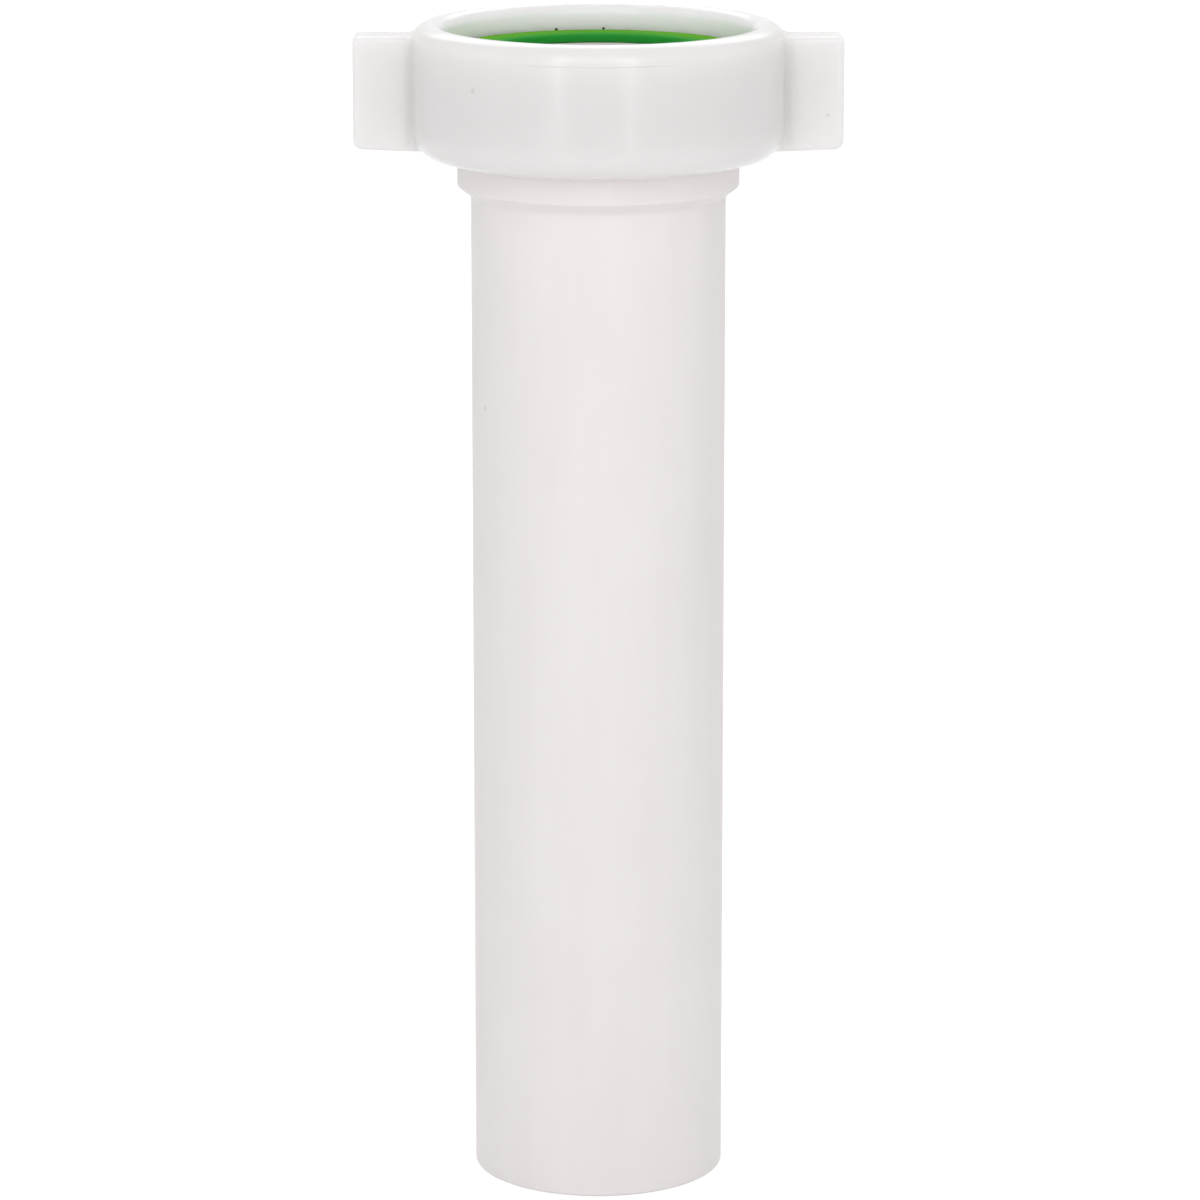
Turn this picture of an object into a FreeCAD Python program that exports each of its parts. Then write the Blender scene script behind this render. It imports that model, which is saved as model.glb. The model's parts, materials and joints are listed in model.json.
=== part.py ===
import FreeCAD, Part
import math
import os

# Tail pipe for a basin waste, in millimetres: a plain-ended tube with a collar and a flange moulded on it,
# a winged union nut held between the two, and a flat seal lying on the flange.
# The origin is the centre of the tube's plain end, and +Z runs up the tube's axis towards the nut.

# Tube
tube_diameter = 32.0
tube_wall = 2.0
tube_length = 144.3
plain_end_rounding = 0.4

# Flange at the top of the tube
flange_step = 3.1
flange_thickness = 3.0
flange_edge_rounding = 0.4

# Collar that stops the nut from sliding down, with a sloping underside that the nut snaps over
collar_step = 1.7
collar_band_height = 3.55
collar_slope_height = 1.3
collar_foot_rounding = 0.9
collar_edge_rounding = 0.25

# Union nut, a ring with an inward lip at its foot
nut_height = 16.6
nut_wall = 4.0
nut_foot_rounding = 3.6
nut_mouth_rounding = 1.4
nut_rim_flat = 0.2
lip_thickness = 2.6
lip_edge_rounding = 0.4
nut_travel = 6.7

# Wings on the nut
wing_reach = 7.15
wing_thickness = 6.0
wing_top_inset = 1.4
wing_foot_rise = 0.8
wing_foot_slope = 2.3
wing_top_corner_rounding = 0.8
wing_foot_corner_rounding = 1.2
wing_edge_rounding = 0.7
wing_root_rounding = 1.5
wing_angles = (0.0, 180.0)

# Seal
seal_thickness = 1.1
seal_edge_rounding = 0.45

# Clearances between the pieces, radial except for the nut's seat
flange_thread_clearance = 0.375
seal_thread_clearance = 0.275
seal_bore_clearance = 0.3
lip_tube_clearance = 1.1
nut_seat_clearance = 0.05

# Radii worked out from the tube outwards
tube_radius = tube_diameter / 2
bore_radius = tube_radius - tube_wall
collar_radius = tube_radius + collar_step
flange_radius = tube_radius + flange_step
thread_crest_radius = flange_radius + flange_thread_clearance
nut_radius = thread_crest_radius + nut_wall
lip_radius = tube_radius + lip_tube_clearance
wing_tip_radius = nut_radius + wing_reach
seal_outer_radius = thread_crest_radius - seal_thread_clearance
seal_inner_radius = bore_radius + seal_bore_clearance
nut_top_rounding = nut_wall - nut_mouth_rounding - nut_rim_flat

# Heights worked out from the sealing face downwards, and from the nut's seat upwards
flange_underside = tube_length - flange_thickness
collar_top = flange_underside - nut_travel - lip_thickness
collar_band_foot = collar_top - collar_band_height
collar_slope_foot = collar_band_foot - collar_slope_height
nut_foot = collar_top + nut_seat_clearance
nut_top = nut_foot + nut_height
seal_top = tube_length + seal_thickness

UP = FreeCAD.Vector(0, 0, 1)
CENTRE = FreeCAD.Vector(0, 0, 0)
TOLERANCE = 0.001
SEAM_ANGLE = 90


def in_section(distance, height):
    """Point of the XZ plane at a distance from the axis."""
    return FreeCAD.Vector(distance, 0, height)


def rounded_outline(corners):
    """Closed face in the XZ plane from (distance, height, rounding) corners; each rounding is a tangent arc."""
    arcs = []
    count = len(corners)
    for i, (distance, height, rounding) in enumerate(corners):
        corner = in_section(distance, height)
        before = (in_section(*corners[i - 1][:2]) - corner).normalize()
        after = (in_section(*corners[(i + 1) % count][:2]) - corner).normalize()
        half_angle = before.getAngle(after) / 2
        run = rounding / math.tan(half_angle)
        inward = (before + after).normalize()
        middle = corner + inward * (rounding / math.sin(half_angle) - rounding)
        arcs.append((corner + before * run, middle, corner + after * run))
    edges = []
    for i, (start, middle, end) in enumerate(arcs):
        if (start - end).Length > 0:
            edges.append(Part.Arc(start, middle, end).toShape())
        edges.append(Part.LineSegment(end, arcs[(i + 1) % count][0]).toShape())
    return Part.Face(Part.Wire(edges))


def turned(corners):
    """Solid of revolution about the tube's axis."""
    return rounded_outline(corners).revolve(CENTRE, UP, 360)


def make_tail_pipe():
    """Tube, collar and flange, moulded in one."""
    return turned([
        (bore_radius, 0, plain_end_rounding),
        (tube_radius, 0, plain_end_rounding),
        (tube_radius, collar_slope_foot, collar_foot_rounding),
        (collar_radius, collar_band_foot, collar_edge_rounding),
        (collar_radius, collar_top, collar_edge_rounding),
        (tube_radius, collar_top, 0),
        (tube_radius, flange_underside, 0),
        (flange_radius, flange_underside, flange_edge_rounding),
        (flange_radius, tube_length, flange_edge_rounding),
        (bore_radius, tube_length, 0),
    ])


def make_nut_ring():
    """Ring of the nut with its lip and its mouth; the bore is the crest of the thread."""
    return turned([
        (lip_radius, nut_foot, lip_edge_rounding),
        (nut_radius, nut_foot, nut_foot_rounding),
        (nut_radius, nut_top, nut_top_rounding),
        (thread_crest_radius, nut_top, nut_mouth_rounding),
        (thread_crest_radius, nut_foot + lip_thickness, 0),
        (lip_radius, nut_foot + lip_thickness, 0),
    ])


def make_wing():
    """Flat wing along +X with rounded edges; its inner end lies inside the ring's wall."""
    foot = nut_foot + wing_foot_rise
    top = nut_top - wing_top_inset
    inner_end = thread_crest_radius + nut_wall / 2
    foot_lift = (wing_tip_radius - nut_radius) * math.tan(math.radians(wing_foot_slope))
    outline = rounded_outline([
        (inner_end, foot, 0),
        (nut_radius, foot, 0),
        (wing_tip_radius, foot + foot_lift, wing_foot_corner_rounding),
        (wing_tip_radius, top, wing_top_corner_rounding),
        (inner_end, top, 0),
    ])
    plate = outline.extrude(FreeCAD.Vector(0, wing_thickness, 0))
    plate.translate(FreeCAD.Vector(0, -wing_thickness / 2, 0))
    rims = [
        edge for edge in plate.Edges
        if abs(abs(edge.CenterOfMass.y) - wing_thickness / 2) < TOLERANCE
        and edge.BoundBox.XMax > inner_end + TOLERANCE
    ]
    return plate.makeFillet(wing_edge_rounding, rims)


def is_wing_root(edge):
    """True for an edge where a wing, which lies along X, leaves the ring's outer face."""
    return all(
        abs(point.x) > thread_crest_radius
        and abs(point.y) < wing_thickness / 2 + TOLERANCE
        and math.hypot(point.x, point.y) < nut_radius + TOLERANCE
        for point in edge.discretize(5)
    )


def make_wing_nut():
    """Ring and wings, moulded in one, with a concave rounding where each wing leaves the ring."""
    ring = make_nut_ring()
    ring.rotate(CENTRE, UP, SEAM_ANGLE)
    wings = []
    for angle in wing_angles:
        wing = make_wing()
        wing.rotate(CENTRE, UP, angle)
        wings.append(wing)
    nut = ring.fuse(wings).removeSplitter().Solids[0]
    roots = [edge for edge in nut.Edges if is_wing_root(edge)]
    return nut.makeFillet(wing_root_rounding, roots).Solids[0]


def make_seal_ring():
    """Flat seal on the flange."""
    return turned([
        (seal_inner_radius, tube_length, seal_edge_rounding),
        (seal_outer_radius, tube_length, seal_edge_rounding),
        (seal_outer_radius, seal_top, seal_edge_rounding),
        (seal_inner_radius, seal_top, seal_edge_rounding),
    ])


def main():
    os.makedirs("parts", exist_ok=True)
    make_tail_pipe().exportStep("parts/tail_pipe.step")
    make_wing_nut().exportStep("parts/wing_nut.step")
    make_seal_ring().exportStep("parts/seal_ring.step")


main()
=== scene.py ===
import json
import math

import bpy
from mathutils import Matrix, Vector


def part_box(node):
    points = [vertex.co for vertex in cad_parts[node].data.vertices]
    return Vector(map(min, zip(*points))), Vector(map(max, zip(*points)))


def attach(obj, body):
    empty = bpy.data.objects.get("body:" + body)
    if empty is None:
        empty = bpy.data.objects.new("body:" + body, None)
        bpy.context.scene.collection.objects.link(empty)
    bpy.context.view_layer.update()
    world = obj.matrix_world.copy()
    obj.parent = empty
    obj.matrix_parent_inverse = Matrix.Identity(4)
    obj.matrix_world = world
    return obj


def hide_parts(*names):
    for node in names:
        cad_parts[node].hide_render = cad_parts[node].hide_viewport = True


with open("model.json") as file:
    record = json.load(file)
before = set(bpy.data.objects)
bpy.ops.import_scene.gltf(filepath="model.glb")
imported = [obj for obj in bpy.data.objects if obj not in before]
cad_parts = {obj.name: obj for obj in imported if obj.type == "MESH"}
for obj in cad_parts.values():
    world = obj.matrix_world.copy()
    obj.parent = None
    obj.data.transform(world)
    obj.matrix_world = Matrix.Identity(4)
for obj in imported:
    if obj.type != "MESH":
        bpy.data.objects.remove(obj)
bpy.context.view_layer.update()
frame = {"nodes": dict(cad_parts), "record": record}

MM = 0.001

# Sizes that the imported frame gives, in metres
mounts = {mount["name"]: mount for mount in frame["record"]["mounts"]}
pipe_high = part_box("tail_pipe")[1]
nut_low, nut_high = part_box("wing_nut")
seal_low, seal_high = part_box("seal_ring")
tube_radius = mounts["spigot"]["dims"]["r_mm"] * MM
bore_radius = mounts["waterway"]["dims"]["r_mm"] * MM
tube_length = pipe_high.z
flange_radius = pipe_high.x
nut_radius = nut_high.y
nut_foot = nut_low.z
nut_top = nut_high.z
seal_radius = seal_high.x
seal_foot = seal_low.z
seal_top = seal_high.z

# Tube, collar and flange
plain_end_rounding = 0.4 * MM
flange_thickness = 3.0 * MM
flange_edge_rounding = 0.4 * MM
flange_underside = tube_length - flange_thickness
nut_seat_clearance = 0.05 * MM
collar_step = 1.7 * MM
collar_band_height = 3.55 * MM
collar_slope_height = 1.3 * MM
collar_foot_rounding = 0.9 * MM
collar_edge_rounding = 0.25 * MM
collar_radius = tube_radius + collar_step
collar_top = nut_foot - nut_seat_clearance
collar_band_foot = collar_top - collar_band_height
collar_slope_foot = collar_band_foot - collar_slope_height

# Ring of the nut
nut_wall = 4.0 * MM
nut_foot_rounding = 3.6 * MM
nut_mouth_rounding = 1.4 * MM
nut_rim_flat = 0.2 * MM
nut_top_rounding = nut_wall - nut_mouth_rounding - nut_rim_flat
thread_crest_radius = nut_radius - nut_wall
mouth_foot = nut_top - nut_mouth_rounding
lip_tube_clearance = 1.1 * MM
lip_thickness = 2.6 * MM
lip_edge_rounding = 0.4 * MM
lip_radius = tube_radius + lip_tube_clearance
lip_top = nut_foot + lip_thickness

# Centres of the ring's roundings, each a distance from the axis and a height
foot_centre = Vector((nut_radius - nut_foot_rounding, nut_foot + nut_foot_rounding))
top_centre = Vector((nut_radius - nut_top_rounding, nut_top - nut_top_rounding))
mouth_centre = Vector((thread_crest_radius + nut_mouth_rounding, mouth_foot))
lip_centre = Vector((lip_radius + lip_edge_rounding, nut_foot + lip_edge_rounding))

# Right-hand 1 1/4 inch pipe thread inside the nut; its flat crests and roots are a share of its pitch
thread_pitch = 2.309 * MM
thread_depth = 1.479 * MM
thread_flat_share = 0.16
thread_start = math.radians(75)
thread_entry_rise = 0.3 * MM
thread_entry_length = 1.6 * MM
thread_runout_length = 1.0 * MM
thread_entry_top = seal_top + thread_entry_rise
thread_length = mouth_foot - lip_top

# Wings of the nut
wing_tip = nut_high.x
wing_thickness = 6.0 * MM
wing_top_inset = 1.4 * MM
wing_foot_rise = 0.8 * MM
wing_foot_slope = math.tan(math.radians(2.3))
wing_top_corner_rounding = 0.8 * MM
wing_foot_corner_rounding = 1.2 * MM
wing_edge_rounding = 0.7 * MM
wing_root_rounding = 1.5 * MM
wing_top = nut_top - wing_top_inset
wing_foot = nut_foot + wing_foot_rise
wing_flat_half = wing_thickness / 2 - wing_edge_rounding

# Seal
seal_bore_clearance = 0.3 * MM
seal_edge_rounding = 0.45 * MM
seal_inner_radius = bore_radius + seal_bore_clearance

# Fineness of the round pieces, and the angle past which an edge shows as sharp
ROUND_COLUMNS = 256
ARC_STEPS = 8
SHARP_ANGLE = math.radians(32)

# Angle to each side of a wing's middle over which its columns spread, above and below the wing
WING_SECTOR = math.radians(12.5)

# Columns of the nut: on a plain stretch, and on half a wing along its root, side, edge and tip
PLAIN_COLUMNS = 100
ROOT_COLUMNS = 8
SIDE_COLUMNS = 6
EDGE_COLUMNS = 6
TIP_COLUMNS = 4
FLAT_COLUMNS = SIDE_COLUMNS + EDGE_COLUMNS + TIP_COLUMNS
WING_COLUMNS = 2 * (ROOT_COLUMNS + FLAT_COLUMNS) + 1

# Rows of the nut: up the wings' sides, from which turn of their rounded edges, at which share of
# their foot corners' rounding, and in a turn of the thread
WING_MIDDLE_ROWS = 20
EDGE_ROWS_START = math.radians(8)
FOOT_CORNER_ROW = 0.75
THREAD_ROWS_PER_TURN = 12

# Ends of the path round a wing's root, and the shares of the rounding's width at its rows
UNDERSIDE = 0.0
TOPSIDE = 3.0
ROOT_SHARES = (0.0, 0.3, 0.6, 0.85)

# Steps in the search for the place on that path at a height
HALVINGS = 30


def arc(centre, radius, start, end, steps=ARC_STEPS):
    """Points of an arc of the (distance, height) plane, between two angles in degrees."""
    angles = [math.radians(start + (end - start) * k / steps) for k in range(steps + 1)]
    return [Vector((centre[0] + radius * math.cos(a), centre[1] + radius * math.sin(a))) for a in angles]


def rounded_outline(corners):
    """Closed outline of the (distance, height) plane from (distance, height, rounding) corners."""
    points = []
    for i, (distance, height, rounding) in enumerate(corners):
        corner = Vector((distance, height))
        if rounding == 0:
            points.append(corner)
            continue
        before = (Vector(corners[i - 1][:2]) - corner).normalized()
        after = (Vector(corners[(i + 1) % len(corners)][:2]) - corner).normalized()
        half_angle = before.angle(after) / 2
        centre = corner + (before + after).normalized() * (rounding / math.sin(half_angle))
        run = rounding / math.tan(half_angle)
        start = math.degrees(math.atan2(*(corner + before * run - centre).yx))
        end = math.degrees(math.atan2(*(corner + after * run - centre).yx))
        turn = (end - start + 180) % 360 - 180
        points += arc(centre, rounding, start, start + turn)
    return points


def skin(name, rows):
    """Closed surface through closed rows of points, with the last row joined to the first."""
    count = len(rows[0])
    faces = []
    for i in range(len(rows)):
        here = i * count
        above = (i + 1) % len(rows) * count
        for k in range(count):
            after = (k + 1) % count
            faces.append((here + k, here + after, above + after, above + k))
    mesh = bpy.data.meshes.new(name)
    mesh.from_pydata([point for row in rows for point in row], [], faces)
    mesh.shade_smooth()
    mesh.set_sharp_from_angle(angle=SHARP_ANGLE)
    piece = bpy.data.objects.new(name, mesh)
    bpy.context.scene.collection.objects.link(piece)
    return piece


def on_ring(angle, radius, height):
    """Point at an angle round the tube's axis."""
    return (radius * math.cos(angle), radius * math.sin(angle), height)


def turned(name, outline):
    """Solid of revolution about the tube's axis."""
    angles = [2 * math.pi * k / ROUND_COLUMNS for k in range(ROUND_COLUMNS)]
    return skin(name, [[on_ring(a, point.x, point.y) for a in angles] for point in outline])


def make_pipe():
    """Tube, collar and flange, moulded in one."""
    return turned("tail_pipe_moulding", rounded_outline([
        (bore_radius, 0, plain_end_rounding),
        (tube_radius, 0, plain_end_rounding),
        (tube_radius, collar_slope_foot, collar_foot_rounding),
        (collar_radius, collar_band_foot, collar_edge_rounding),
        (collar_radius, collar_top, collar_edge_rounding),
        (tube_radius, collar_top, 0),
        (tube_radius, flange_underside, 0),
        (flange_radius, flange_underside, flange_edge_rounding),
        (flange_radius, tube_length, flange_edge_rounding),
        (bore_radius, tube_length, 0),
    ]))


def make_seal():
    """Flat ring with rounded edges."""
    return turned("seal_moulding", rounded_outline([
        (seal_inner_radius, seal_foot, seal_edge_rounding),
        (seal_radius, seal_foot, seal_edge_rounding),
        (seal_radius, seal_top, seal_edge_rounding),
        (seal_inner_radius, seal_top, seal_edge_rounding),
    ]))


# Angles of the nut's columns: a wing's and then a plain stretch's, and the same again half a turn on
wing_angles = [WING_SECTOR * (2 * (k + 1) / (WING_COLUMNS + 1) - 1) for k in range(WING_COLUMNS)]
plain_stretch = math.pi - 2 * WING_SECTOR
plain_angles = [WING_SECTOR + plain_stretch * k / PLAIN_COLUMNS for k in range(PLAIN_COLUMNS + 1)]
half_turn_angles = wing_angles + plain_angles
column_angles = half_turn_angles + [angle + math.pi for angle in half_turn_angles]


def ring_radius(height, offset=0.0):
    """Radius of the ring's outer face at a height, or of a face at an offset outside it."""
    if height < foot_centre.y:
        return foot_centre.x + math.sqrt((nut_foot_rounding + offset) ** 2 - (foot_centre.y - height) ** 2)
    if height > top_centre.y:
        return top_centre.x + math.sqrt((nut_top_rounding + offset) ** 2 - (height - top_centre.y) ** 2)
    return nut_radius + offset


def ring_row(radius, height):
    """Round row of the nut."""
    return [on_ring(angle, radius, height) for angle in column_angles]


def smooth_step(low, high, value):
    """0 below a range and 1 above it, with a smooth rise between."""
    share = min(max((value - low) / (high - low), 0), 1)
    return share * share * (3 - 2 * share)


def thread_row(height):
    """Row of the bore, cut outwards by the thread's groove."""
    entry = smooth_step(0, thread_entry_length, thread_entry_top - height)
    runout = smooth_step(0, thread_runout_length, height - lip_top)
    row = []
    for angle in column_angles:
        phase = ((angle - thread_start) / (2 * math.pi) - height / thread_pitch) % 1
        from_crest = 1 - abs(2 * phase - 1)
        groove = smooth_step(thread_flat_share, 1 - thread_flat_share, from_crest)
        row.append(on_ring(angle, thread_crest_radius + thread_depth * groove * entry * runout, height))
    return row


def edge_inset(half_width):
    """How far the rounded edge has drawn the wing's outline in, at a distance from its middle plane."""
    beyond = max(half_width - wing_flat_half, 0)
    return wing_edge_rounding - math.sqrt(max(wing_edge_rounding**2 - beyond**2, 0))


def wing_reach(height, half_width):
    """Distance of the wing's tip from the axis, at a height and a distance from its middle plane."""
    inset = edge_inset(half_width)
    tip = wing_tip - inset
    to_top = wing_top - height
    to_foot = height - wing_foot
    corner = (wing_top_corner_rounding if to_top < to_foot else wing_foot_corner_rounding) - inset
    gap = max(min(to_top, to_foot) - inset, 0)
    if gap >= corner:
        return tip
    return tip - corner + math.sqrt(corner**2 - (corner - gap) ** 2)


def root_point(travel, share):
    """Point of a wing's root rounding, which is the path of a ball that touches the wing and the ring.

    The ball travels from the wing's underside (0) past its lower edge (1) and its upper edge (2)
    to its top (3), and the share runs from the wing (0) to the ring (1).
    """
    lift = math.pi / 2 * max(1 - travel, travel - 2, 0)
    up = 1 if travel > 1 else -1
    low = wing_foot + wing_edge_rounding
    high = wing_top - wing_edge_rounding
    reach = wing_edge_rounding + wing_root_rounding
    across = wing_flat_half + reach * math.cos(lift)
    height = low + (high - low) * min(max(travel - 1, 0), 1) + up * reach * math.sin(lift)
    distance = ring_radius(height, wing_root_rounding)
    centre = Vector((math.sqrt(distance**2 - across**2), across, height))
    core_radius = top_centre.x if height > top_centre.y else foot_centre.x
    core_height = min(max(height, foot_centre.y), top_centre.y)
    core = Vector((centre.x * core_radius / distance, centre.y * core_radius / distance, core_height))
    to_wing = Vector((0, -math.cos(lift), -up * math.sin(lift)))
    to_ring = (core - centre).normalized()
    return centre + to_wing.slerp(to_ring, share) * wing_root_rounding


def root_at(height, share):
    """Point of that rounding at a height."""
    low = UNDERSIDE
    high = TOPSIDE
    for _ in range(HALVINGS):
        middle = (low + high) / 2
        if root_point(middle, share).z < height:
            low = middle
        else:
            high = middle
    return root_point(low, share)


def half_wing_outline(height):
    """Plan of half a wing at a height: round the root, along the side and over the edge to the tip."""
    points = [root_at(height, 1 - k / ROOT_COLUMNS).xy for k in range(ROOT_COLUMNS + 1)]
    side_start, half_width = points[-1]
    side_end = wing_reach(height, half_width)
    for k in range(1, SIDE_COLUMNS + 1):
        points.append(Vector((side_start + (side_end - side_start) * k / SIDE_COLUMNS, half_width)))
    for k in range(1, EDGE_COLUMNS + 1):
        across = wing_flat_half + (half_width - wing_flat_half) * math.cos(math.pi / 2 * k / EDGE_COLUMNS)
        points.append(Vector((wing_reach(height, across), across)))
    for k in range(1, TIP_COLUMNS + 1):
        across = wing_flat_half * (1 - k / TIP_COLUMNS)
        points.append(Vector((wing_reach(height, across), across)))
    return points


def outer_row(half, height, slope=0.0):
    """Row of the nut's outer face, from the plan of half a wing; the slope raises it towards the tips."""
    outline = [Vector((p.x, -p.y)) for p in half] + [p.copy() for p in reversed(half[:-1])]
    radius = ring_radius(height)
    row = []
    for side in (1, -1):
        for p in outline:
            row.append((side * p.x, side * p.y, height + max(p.x - nut_radius, 0) * slope))
        for angle in plain_angles:
            x, y, z = on_ring(angle, radius, height)
            row.append((side * x, side * y, z))
    return row


def wing_row(height):
    """Row through both wings; their underside rises towards their tips."""
    slope = wing_foot_slope * (wing_top - height) / (wing_top - wing_foot)
    return outer_row(half_wing_outline(height), height, slope)


def root_row(travel, share):
    """Row of the rounding between the ring and the flat top or underside of the wings."""
    edge = root_point(travel, share)
    half = [root_at(edge.z, 1 - (1 - share) * k / ROOT_COLUMNS).xy for k in range(ROOT_COLUMNS)]
    for k in range(FLAT_COLUMNS + 1):
        angle = math.atan2(edge.y, edge.x) * (1 - k / FLAT_COLUMNS)
        half.append(Vector(on_ring(angle, edge.xy.length, 0)).xy)
    return outer_row(half, edge.z)


def wing_heights():
    """Heights of the rows through the wings, close together over the rounded edges and corners."""
    edge_turn = math.pi / 2 - EDGE_ROWS_START
    turns = [EDGE_ROWS_START + edge_turn * k / EDGE_COLUMNS for k in range(EDGE_COLUMNS + 1)]
    gaps = [wing_edge_rounding * (1 - math.cos(turn)) for turn in turns]
    low = wing_foot + wing_foot_corner_rounding
    high = wing_top - wing_top_corner_rounding
    foot = [wing_foot + gap for gap in gaps] + [wing_foot + wing_foot_corner_rounding * FOOT_CORNER_ROW]
    middle = [low + (high - low) * k / WING_MIDDLE_ROWS for k in range(WING_MIDDLE_ROWS + 1)]
    return foot + middle + [wing_top - gap for gap in reversed(gaps)]


def make_nut():
    """Ring, wings and thread as one surface: up the outer face, over the rim and down the bore."""
    roots_foot = root_point(UNDERSIDE, 1).z
    roots_top = root_point(TOPSIDE, 1).z
    foot_arc = arc(foot_centre, nut_foot_rounding, -90, 0)
    top_arc = arc(top_centre, nut_top_rounding, 0, 90, 2 * ARC_STEPS)
    thread_rows = round(thread_length / thread_pitch * THREAD_ROWS_PER_TURN)
    rows = [ring_row(p.x, p.y) for p in foot_arc if p.y < roots_foot]
    rows += [root_row(UNDERSIDE, share) for share in reversed(ROOT_SHARES)]
    rows += [wing_row(height) for height in wing_heights()]
    rows += [root_row(TOPSIDE, share) for share in ROOT_SHARES]
    rows += [ring_row(p.x, p.y) for p in top_arc if p.y > roots_top]
    rows += [ring_row(p.x, p.y) for p in arc(mouth_centre, nut_mouth_rounding, 90, 180)]
    rows += [thread_row(mouth_foot - thread_length * (k + 1) / thread_rows) for k in range(thread_rows)]
    rows.append(ring_row(lip_radius, lip_top))
    rows += [ring_row(p.x, p.y) for p in arc(lip_centre, lip_edge_rounding, 180, 270)]
    return skin("wing_nut_moulding", rows)


def node(tree, kind, inputs=None, **settings):
    """New shader node with its settings and its inputs, which are values or outputs of other nodes."""
    made = tree.nodes.new(kind)
    for name, value in settings.items():
        setattr(made, name, value)
    for name, value in (inputs or {}).items():
        if isinstance(value, bpy.types.NodeSocket):
            tree.links.new(value, made.inputs[name])
        else:
            made.inputs[name].default_value = value
    return made


def new_material(name):
    """New material with an empty node tree."""
    material = bpy.data.materials.new(name)
    material.use_nodes = True
    material.node_tree.nodes.clear()
    return material, material.node_tree


def place_on_piece(tree):
    """Place on a piece, in metres."""
    return node(tree, "ShaderNodeTexCoord").outputs["Object"]


def noise(tree, place, scale, detail, axis_scales=None):
    """Noise with features of about 1/scale metres, longer along an axis whose own scale is below 1."""
    if axis_scales:
        place = node(tree, "ShaderNodeMapping", {"Vector": place, "Scale": axis_scales}).outputs["Vector"]
    made = node(tree, "ShaderNodeTexNoise", {"Vector": place, "Scale": scale, "Detail": detail})
    return made.outputs["Fac"]


def spread(tree, value, low, high, new_low=0.0, new_high=1.0):
    """Value moved from one range to another, and held at the ends of the new one."""
    made = node(tree, "ShaderNodeMapRange", {
        "Value": value, "From Min": low, "From Max": high, "To Min": new_low, "To Max": new_high,
    })
    return made.outputs["Result"]


def fade(tree, value, start, end, full=1.0):
    """Full up to the start of a range, and falling to 0 at its end."""
    return spread(tree, value, start, end, full, 0.0)


def mixed(tree, share, colour, other):
    """Colour with a share of another mixed in."""
    made = node(tree, "ShaderNodeMix", {"Factor": share}, data_type="RGBA")
    for name, value in (("A", colour), ("B", other)):
        socket = next(s for s in made.inputs if s.name == name and s.type == "RGBA")
        if isinstance(value, bpy.types.NodeSocket):
            tree.links.new(value, socket)
        else:
            socket.default_value = (*value, 1)
    return next(s for s in made.outputs if s.type == "RGBA")


def math_of(tree, operation, a, b=0.0):
    """Result of a calculation with one or two values."""
    return node(tree, "ShaderNodeMath", {0: a, 1: b}, operation=operation).outputs["Value"]


def distance_to(tree, place, centre):
    """Distance of a place from a centre."""
    made = node(tree, "ShaderNodeVectorMath", {0: place, 1: centre}, operation="DISTANCE")
    return made.outputs["Value"]


def axis_distance(tree, place):
    """Distance of a place from the tube's axis."""
    flat = node(tree, "ShaderNodeVectorMath", {0: place, 1: (1, 1, 0)}, operation="MULTIPLY")
    made = node(tree, "ShaderNodeVectorMath", {0: flat.outputs["Vector"]}, operation="LENGTH")
    return made.outputs["Value"]


def on_far_bore(x, height):
    """Place on the side of the nut's bore that the camera sees."""
    return (x, math.sqrt(thread_crest_radius**2 - x**2), height)


# Colours
PIPE_WHITE = (0.835, 0.800, 0.790)
PIPE_SHADE = (0.810, 0.775, 0.765)
NUT_WHITE = (0.784, 0.768, 0.763)
NUT_SHADE = (0.769, 0.753, 0.749)
# Painted light: the bore's white is brighter and pinker than the nut's, standing in for light on the bore
# and offsetting the seal's green bounce
NUT_BORE_PAINTED_LIGHT = (0.960, 0.875, 0.945)
SEAL_GREEN = (0.150, 0.47, 0.010)
SEAL_SHADE = (0.120, 0.43, 0.008)
# Painted shade: a deeper green near the seal's hole, where the nut's front rim shades it
SEAL_PAINTED_SHADE_GREEN = (0.020, 0.30, 0.035)
DARK_DIRT = (0.02, 0.02, 0.018)
# Grey is real dirt in the specks and painted shade on the nut's mould line
GREY_DIRT_AND_PAINTED_SHADE = (0.33, 0.33, 0.34)

# Specks of dirt: place, radius, colour and strength
PIPE_SPECKS = [
    ((-14.2 * MM, -7.4 * MM, 101.2 * MM), 0.35 * MM, GREY_DIRT_AND_PAINTED_SHADE, 0.3),
]
NUT_SPECKS = [
    ((-15.3 * MM, -17.8 * MM, 142.6 * MM), 0.4 * MM, GREY_DIRT_AND_PAINTED_SHADE, 0.25),
    ((28.6 * MM, -3.0 * MM, 137.5 * MM), 0.3 * MM, GREY_DIRT_AND_PAINTED_SHADE, 0.25),
    (on_far_bore(-5.4 * MM, seal_top), 0.27 * MM, DARK_DIRT, 1.0),
    (on_far_bore(0.65 * MM, seal_top + 0.05 * MM), 0.22 * MM, DARK_DIRT, 1.0),
]

# Share of a speck's radius within which it has its full strength
SPECK_CORE = 0.5

# Repeats of the materials' features in a metre
CLOUD_SCALE = 70
FLOW_SCALE = 260
FLOW_AXIS_SCALES = (1, 1, 0.12)
PLASTIC_GRAIN_SCALE = 2600
RUBBER_CLOUD_SCALE = 150
RUBBER_GRAIN_SCALE = 1800
PATCH_SCALE = 45

# Ranges of the noises over which the looks change
CLOUD_AND_FLOW_RANGE = (0.7, 1.3)
RUBBER_CLOUD_RANGE = (0.35, 0.65)
GRAIN_RANGE = (0.3, 0.7)
PATCH_RANGE = (0.42, 0.62)

# Height of the plastics' grain and of the nut's mould line, in depths of the bump
PIPE_GRAIN = 0.5
NUT_GRAIN = 0.06
MOULD_LINE_RELIEF = 1.6

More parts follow.
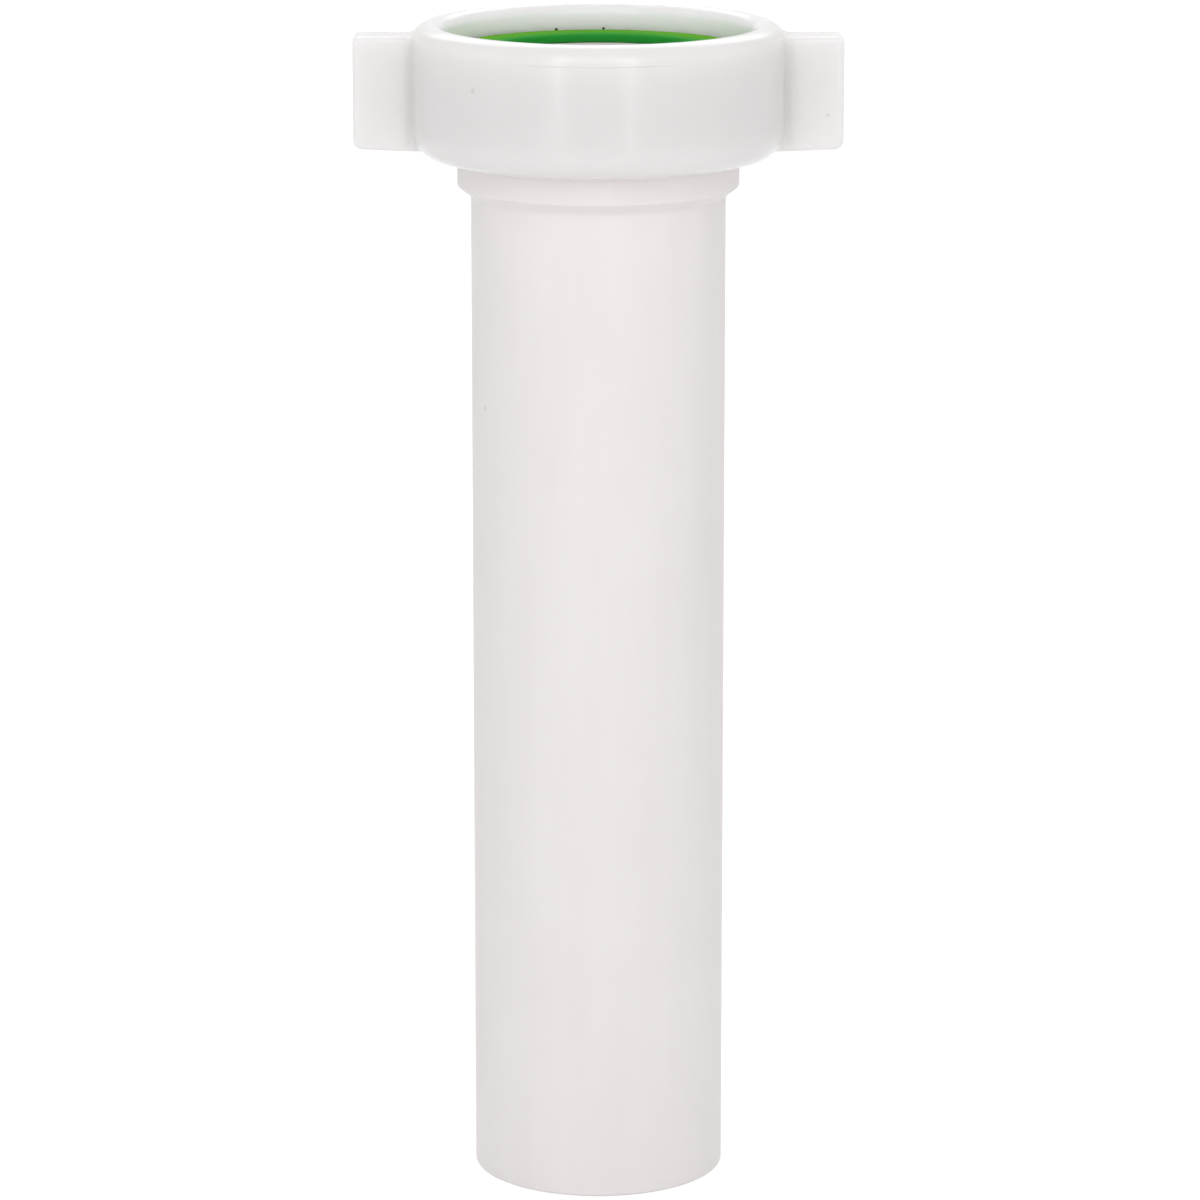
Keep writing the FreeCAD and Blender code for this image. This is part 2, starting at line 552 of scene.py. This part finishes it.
# Mould line of the nut: its painted shade, its half width, and where it starts to fade sideways and ends
MOULD_LINE_PAINTED_SHADE = 0.3
MOULD_LINE_HALF_WIDTH = 0.12 * MM
MOULD_LINE_FADE_START = 5 * MM
MOULD_LINE_FADE_END = 12 * MM

# How far inside the nut's outer face the bore's painted light ends, and the width of the seal's painted
# shade, a deeper green
BORE_PAINTED_LIGHT_INSET = 2 * MM
PAINTED_SHADE_WIDTH = 4.0 * MM


def clouded(tree, place, colour, shade):
    """Colour that drifts to a shade of it, in faint clouds and in flow lines along the axis."""
    clouds = noise(tree, place, CLOUD_SCALE, detail=3.0)
    flow = noise(tree, place, FLOW_SCALE, detail=4.0, axis_scales=FLOW_AXIS_SCALES)
    share = spread(tree, math_of(tree, "ADD", clouds, flow), *CLOUD_AND_FLOW_RANGE)
    return mixed(tree, share, colour, shade)


def specked(tree, place, tone, specks):
    """Tone with specks of dirt, which have soft edges."""
    for centre, radius, dirt, strength in specks:
        distance = distance_to(tree, place, centre)
        tone = mixed(tree, fade(tree, distance, radius * SPECK_CORE, radius, strength), tone, dirt)
    return tone


def mould_line(tree, place):
    """1 on a patchy line where the nut's rim starts to round, midway between the wings, and 0 elsewhere."""
    position = node(tree, "ShaderNodeSeparateXYZ", {"Vector": place}).outputs
    away = math_of(tree, "ABSOLUTE", math_of(tree, "SUBTRACT", position["Z"], top_centre.y))
    line = fade(tree, away, 0.0, MOULD_LINE_HALF_WIDTH)
    patches = spread(tree, noise(tree, place, PATCH_SCALE, detail=1.0), *PATCH_RANGE)
    sideways = math_of(tree, "ABSOLUTE", position["X"])
    midway = fade(tree, sideways, MOULD_LINE_FADE_START, MOULD_LINE_FADE_END)
    return math_of(tree, "MULTIPLY", line, math_of(tree, "MULTIPLY", patches, midway))


def finish(tree, tone, grain, relief, roughness, bump_strength, bump_depth, others):
    """Shader of a piece, whose grain varies its roughness; others are the values of more sockets."""
    bump = node(tree, "ShaderNodeBump", {
        "Height": relief, "Strength": bump_strength, "Distance": bump_depth,
    })
    shader = node(tree, "ShaderNodeBsdfPrincipled", {
        "Base Color": tone,
        "Roughness": spread(tree, grain, *GRAIN_RANGE, *roughness),
        "Normal": bump.outputs["Normal"],
        **others,
    })
    node(tree, "ShaderNodeOutputMaterial", {"Surface": shader.outputs["BSDF"]})


def finish_plastic(tree, tone, grain, relief, roughness, scatter, scatter_depth):
    """Shader of a white plastic, into which light sinks a little way."""
    finish(tree, tone, grain, relief, roughness, bump_strength=0.35, bump_depth=0.03 * MM, others={
        "Subsurface Weight": scatter,
        "Subsurface Radius": (1.0, 1.0, 1.0),
        "Subsurface Scale": scatter_depth,
    })


def pipe_plastic():
    """Matt, warm white plastic with a fine grain."""
    material, tree = new_material("pipe_plastic")
    place = place_on_piece(tree)
    tone = specked(tree, place, clouded(tree, place, PIPE_WHITE, PIPE_SHADE), PIPE_SPECKS)
    grain = noise(tree, place, PLASTIC_GRAIN_SCALE, detail=2.0)
    relief = math_of(tree, "MULTIPLY", grain, PIPE_GRAIN)
    finish_plastic(tree, tone, grain, relief, roughness=(0.50, 0.62), scatter=0.2, scatter_depth=3.0 * MM)
    return material


def nut_plastic():
    """Glossier white plastic, with painted light that makes the bore whiter and pinker, and a mould line
    darkened by painted shade.
    """
    material, tree = new_material("nut_plastic")
    place = place_on_piece(tree)
    # Painted light: the bore is whitened towards its surface
    painted_light_in_bore = fade(tree, axis_distance(tree, place), thread_crest_radius, nut_radius - BORE_PAINTED_LIGHT_INSET)
    tone = mixed(tree, painted_light_in_bore, clouded(tree, place, NUT_WHITE, NUT_SHADE), NUT_BORE_PAINTED_LIGHT)
    tone = specked(tree, place, tone, NUT_SPECKS)
    line = mould_line(tree, place)
    # Painted shade: the mould line is darkened with grey
    tone = mixed(tree, math_of(tree, "MULTIPLY", line, MOULD_LINE_PAINTED_SHADE), tone, GREY_DIRT_AND_PAINTED_SHADE)
    grain = noise(tree, place, PLASTIC_GRAIN_SCALE, detail=2.0)
    ridge = math_of(tree, "MULTIPLY", line, MOULD_LINE_RELIEF)
    relief = math_of(tree, "ADD", math_of(tree, "MULTIPLY", grain, NUT_GRAIN), ridge)
    finish_plastic(tree, tone, grain, relief, roughness=(0.17, 0.23), scatter=1.0, scatter_depth=5.0 * MM)
    return material


def seal_rubber():
    """Matt green rubber, slightly clouded, with painted shade that deepens its green towards its hole, and
    a fine moulded grain.
    """
    material, tree = new_material("seal_rubber")
    place = place_on_piece(tree)
    clouds = spread(tree, noise(tree, place, RUBBER_CLOUD_SCALE, detail=4.0), *RUBBER_CLOUD_RANGE)
    painted_shade_end = seal_inner_radius + PAINTED_SHADE_WIDTH
    # Painted shade: the green deepens towards the seal's hole
    painted_shade_share = fade(tree, axis_distance(tree, place), seal_inner_radius, painted_shade_end)
    tone = mixed(tree, painted_shade_share, mixed(tree, clouds, SEAL_GREEN, SEAL_SHADE), SEAL_PAINTED_SHADE_GREEN)
    grain = noise(tree, place, RUBBER_GRAIN_SCALE, detail=2.0)
    finish(
        tree, tone, grain, relief=grain, roughness=(0.8, 0.9), bump_strength=0.25, bump_depth=0.04 * MM,
        others={"Specular IOR Level": 0.1})
    return material


def dress(piece, body, cad_node, material):
    """Puts a piece in its node's place on its body, with its material."""
    piece.data.materials.append(material)
    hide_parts(cad_node)
    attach(piece, body)
    frame["nodes"][cad_node].data.materials.clear()
    frame["nodes"][cad_node].data.materials.append(material)


def build_part():
    """The three pieces on their bodies."""
    dress(make_pipe(), "pipe", "tail_pipe", pipe_plastic())
    dress(make_nut(), "nut", "wing_nut", nut_plastic())
    dress(make_seal(), "pipe", "seal_ring", seal_rubber())


# Stage: a pale floor that shows as white where no shadow falls on it, and an even fill from all round
FLOOR_SIZE = 14.0
FLOOR_BOUNCE = 0.88
FLOOR_SHOWN = 0.45
FLOOR_GLOW = 0.70
WORLD_FILL = 0.575
WHITE = (1, 1, 1, 1)

# Low light from the camera's side: its strength, and the elevations where its fall starts and ends
FRONT_LIGHT = 1.1
FRONT_FULL = math.radians(2)
FRONT_END = math.radians(14)


def seen_directly(tree):
    """1 for what the camera sees, also through a reflection or glass."""
    path = node(tree, "ShaderNodeLightPath").outputs
    seen = math_of(tree, "MAXIMUM", path["Is Camera Ray"], path["Is Glossy Ray"])
    return math_of(tree, "MAXIMUM", seen, path["Is Transmission Ray"])


def make_floor():
    """Floor that reflects light as pale paper does, and shows as white apart from shadows."""
    mesh = bpy.data.meshes.new("floor")
    half = FLOOR_SIZE / 2
    corners = [(-half, -half, 0), (half, -half, 0), (half, half, 0), (-half, half, 0)]
    mesh.from_pydata(corners, [], [(0, 1, 2, 3)])
    floor = bpy.data.objects.new("floor", mesh)
    bpy.context.scene.collection.objects.link(floor)
    material, tree = new_material("floor_paper")
    bounce = node(tree, "ShaderNodeBsdfDiffuse", {"Color": (FLOOR_BOUNCE, FLOOR_BOUNCE, FLOOR_BOUNCE, 1)})
    shown = node(tree, "ShaderNodeBsdfDiffuse", {"Color": (FLOOR_SHOWN, FLOOR_SHOWN, FLOOR_SHOWN, 1)})
    glow = node(tree, "ShaderNodeEmission", {"Strength": FLOOR_GLOW})
    lit = node(tree, "ShaderNodeAddShader", {0: shown.outputs["BSDF"], 1: glow.outputs["Emission"]})
    shader = node(tree, "ShaderNodeMixShader", {
        0: seen_directly(tree), 1: bounce.outputs["BSDF"], 2: lit.outputs["Shader"],
    })
    node(tree, "ShaderNodeOutputMaterial", {"Surface": shader.outputs["Shader"]})
    mesh.materials.append(material)


def make_world():
    """White backdrop, which lights the part as an even fill with more light from low at the front."""
    world = bpy.data.worlds.new("studio")
    world.use_nodes = True
    tree = world.node_tree
    tree.nodes.clear()
    outward = node(tree, "ShaderNodeTexCoord").outputs["Generated"]
    direction = node(tree, "ShaderNodeSeparateXYZ", {"Vector": outward}).outputs
    low = fade(tree, direction["Z"], math.sin(FRONT_FULL), math.sin(FRONT_END), FRONT_LIGHT)
    front = math_of(tree, "MAXIMUM", math_of(tree, "MULTIPLY", direction["Y"], -1), 0)
    strength = math_of(tree, "ADD", math_of(tree, "MULTIPLY", low, front), WORLD_FILL)
    fill = node(tree, "ShaderNodeBackground", {"Color": WHITE, "Strength": strength})
    backdrop = node(tree, "ShaderNodeBackground", {"Color": WHITE, "Strength": 1.0})
    shader = node(tree, "ShaderNodeMixShader", {
        0: seen_directly(tree), 1: fill.outputs["Background"], 2: backdrop.outputs["Background"],
    })
    node(tree, "ShaderNodeOutputWorld", {"Surface": shader.outputs["Shader"]})
    bpy.context.scene.world = world


def softbox(name, azimuth, elevation, distance, width, height, radiance):
    """Area lamp that faces the part; its angles are in degrees, to the right of the camera and up."""
    a = math.radians(azimuth)
    e = math.radians(elevation)
    middle = Vector((0, 0, tube_length / 2))
    away = Vector((math.sin(a) * math.cos(e), -math.cos(a) * math.cos(e), math.sin(e)))
    lamp = bpy.data.lights.new(name, "AREA")
    lamp.shape = "RECTANGLE"
    lamp.size = width
    lamp.size_y = height
    lamp.energy = radiance * math.pi * width * height
    holder = bpy.data.objects.new(name, lamp)
    holder.location = middle + away * distance
    holder.rotation_euler = (-away).to_track_quat("-Z", "Y").to_euler()
    holder.visible_camera = False
    bpy.context.scene.collection.objects.link(holder)


def make_lights():
    """Large soft lamps all round, and two narrow strips that draw the highlights down the nut's front."""
    softbox("front_softbox", azimuth=0, elevation=38, distance=1.5, width=1.2, height=0.8, radiance=0.85)
    softbox("back_softbox", azimuth=180, elevation=45, distance=1.5, width=1.5, height=1.0, radiance=1.65)
    for name, azimuth in (("left_softbox", -90), ("right_softbox", 90)):
        softbox(name, azimuth, elevation=25, distance=1.5, width=1.0, height=1.0, radiance=0.3)
    for name, azimuth in (("left_strip", -24), ("right_strip", 19)):
        softbox(name, azimuth, elevation=24, distance=0.55, width=0.05, height=0.55, radiance=3.6)


# Camera at the photograph's side and framing, from a little above
CAMERA_DISTANCE = 0.70
CAMERA_ELEVATION = math.radians(13.3)
CAMERA_AIM = Vector((0.0002, 0, 0.07475))
CAMERA_SENSOR = 36.0
CAMERA_LENS = 164.4
CAMERA_NEAR = 0.05
CAMERA_FAR = 60.0


def make_camera():
    """Camera that looks at the part's middle."""
    camera = bpy.data.cameras.new("camera")
    camera.sensor_width = CAMERA_SENSOR
    camera.lens = CAMERA_LENS
    camera.clip_start = CAMERA_NEAR
    camera.clip_end = CAMERA_FAR
    back = Vector((0, -math.cos(CAMERA_ELEVATION), math.sin(CAMERA_ELEVATION)))
    holder = bpy.data.objects.new("camera", camera)
    holder.location = CAMERA_AIM + back * CAMERA_DISTANCE
    holder.rotation_euler = (-back).to_track_quat("-Z", "Y").to_euler()
    bpy.context.scene.collection.objects.link(holder)
    bpy.context.scene.camera = holder


build_part()
make_floor()
make_world()
make_lights()
make_camera()
bpy.context.scene.view_settings.view_transform = "Standard"
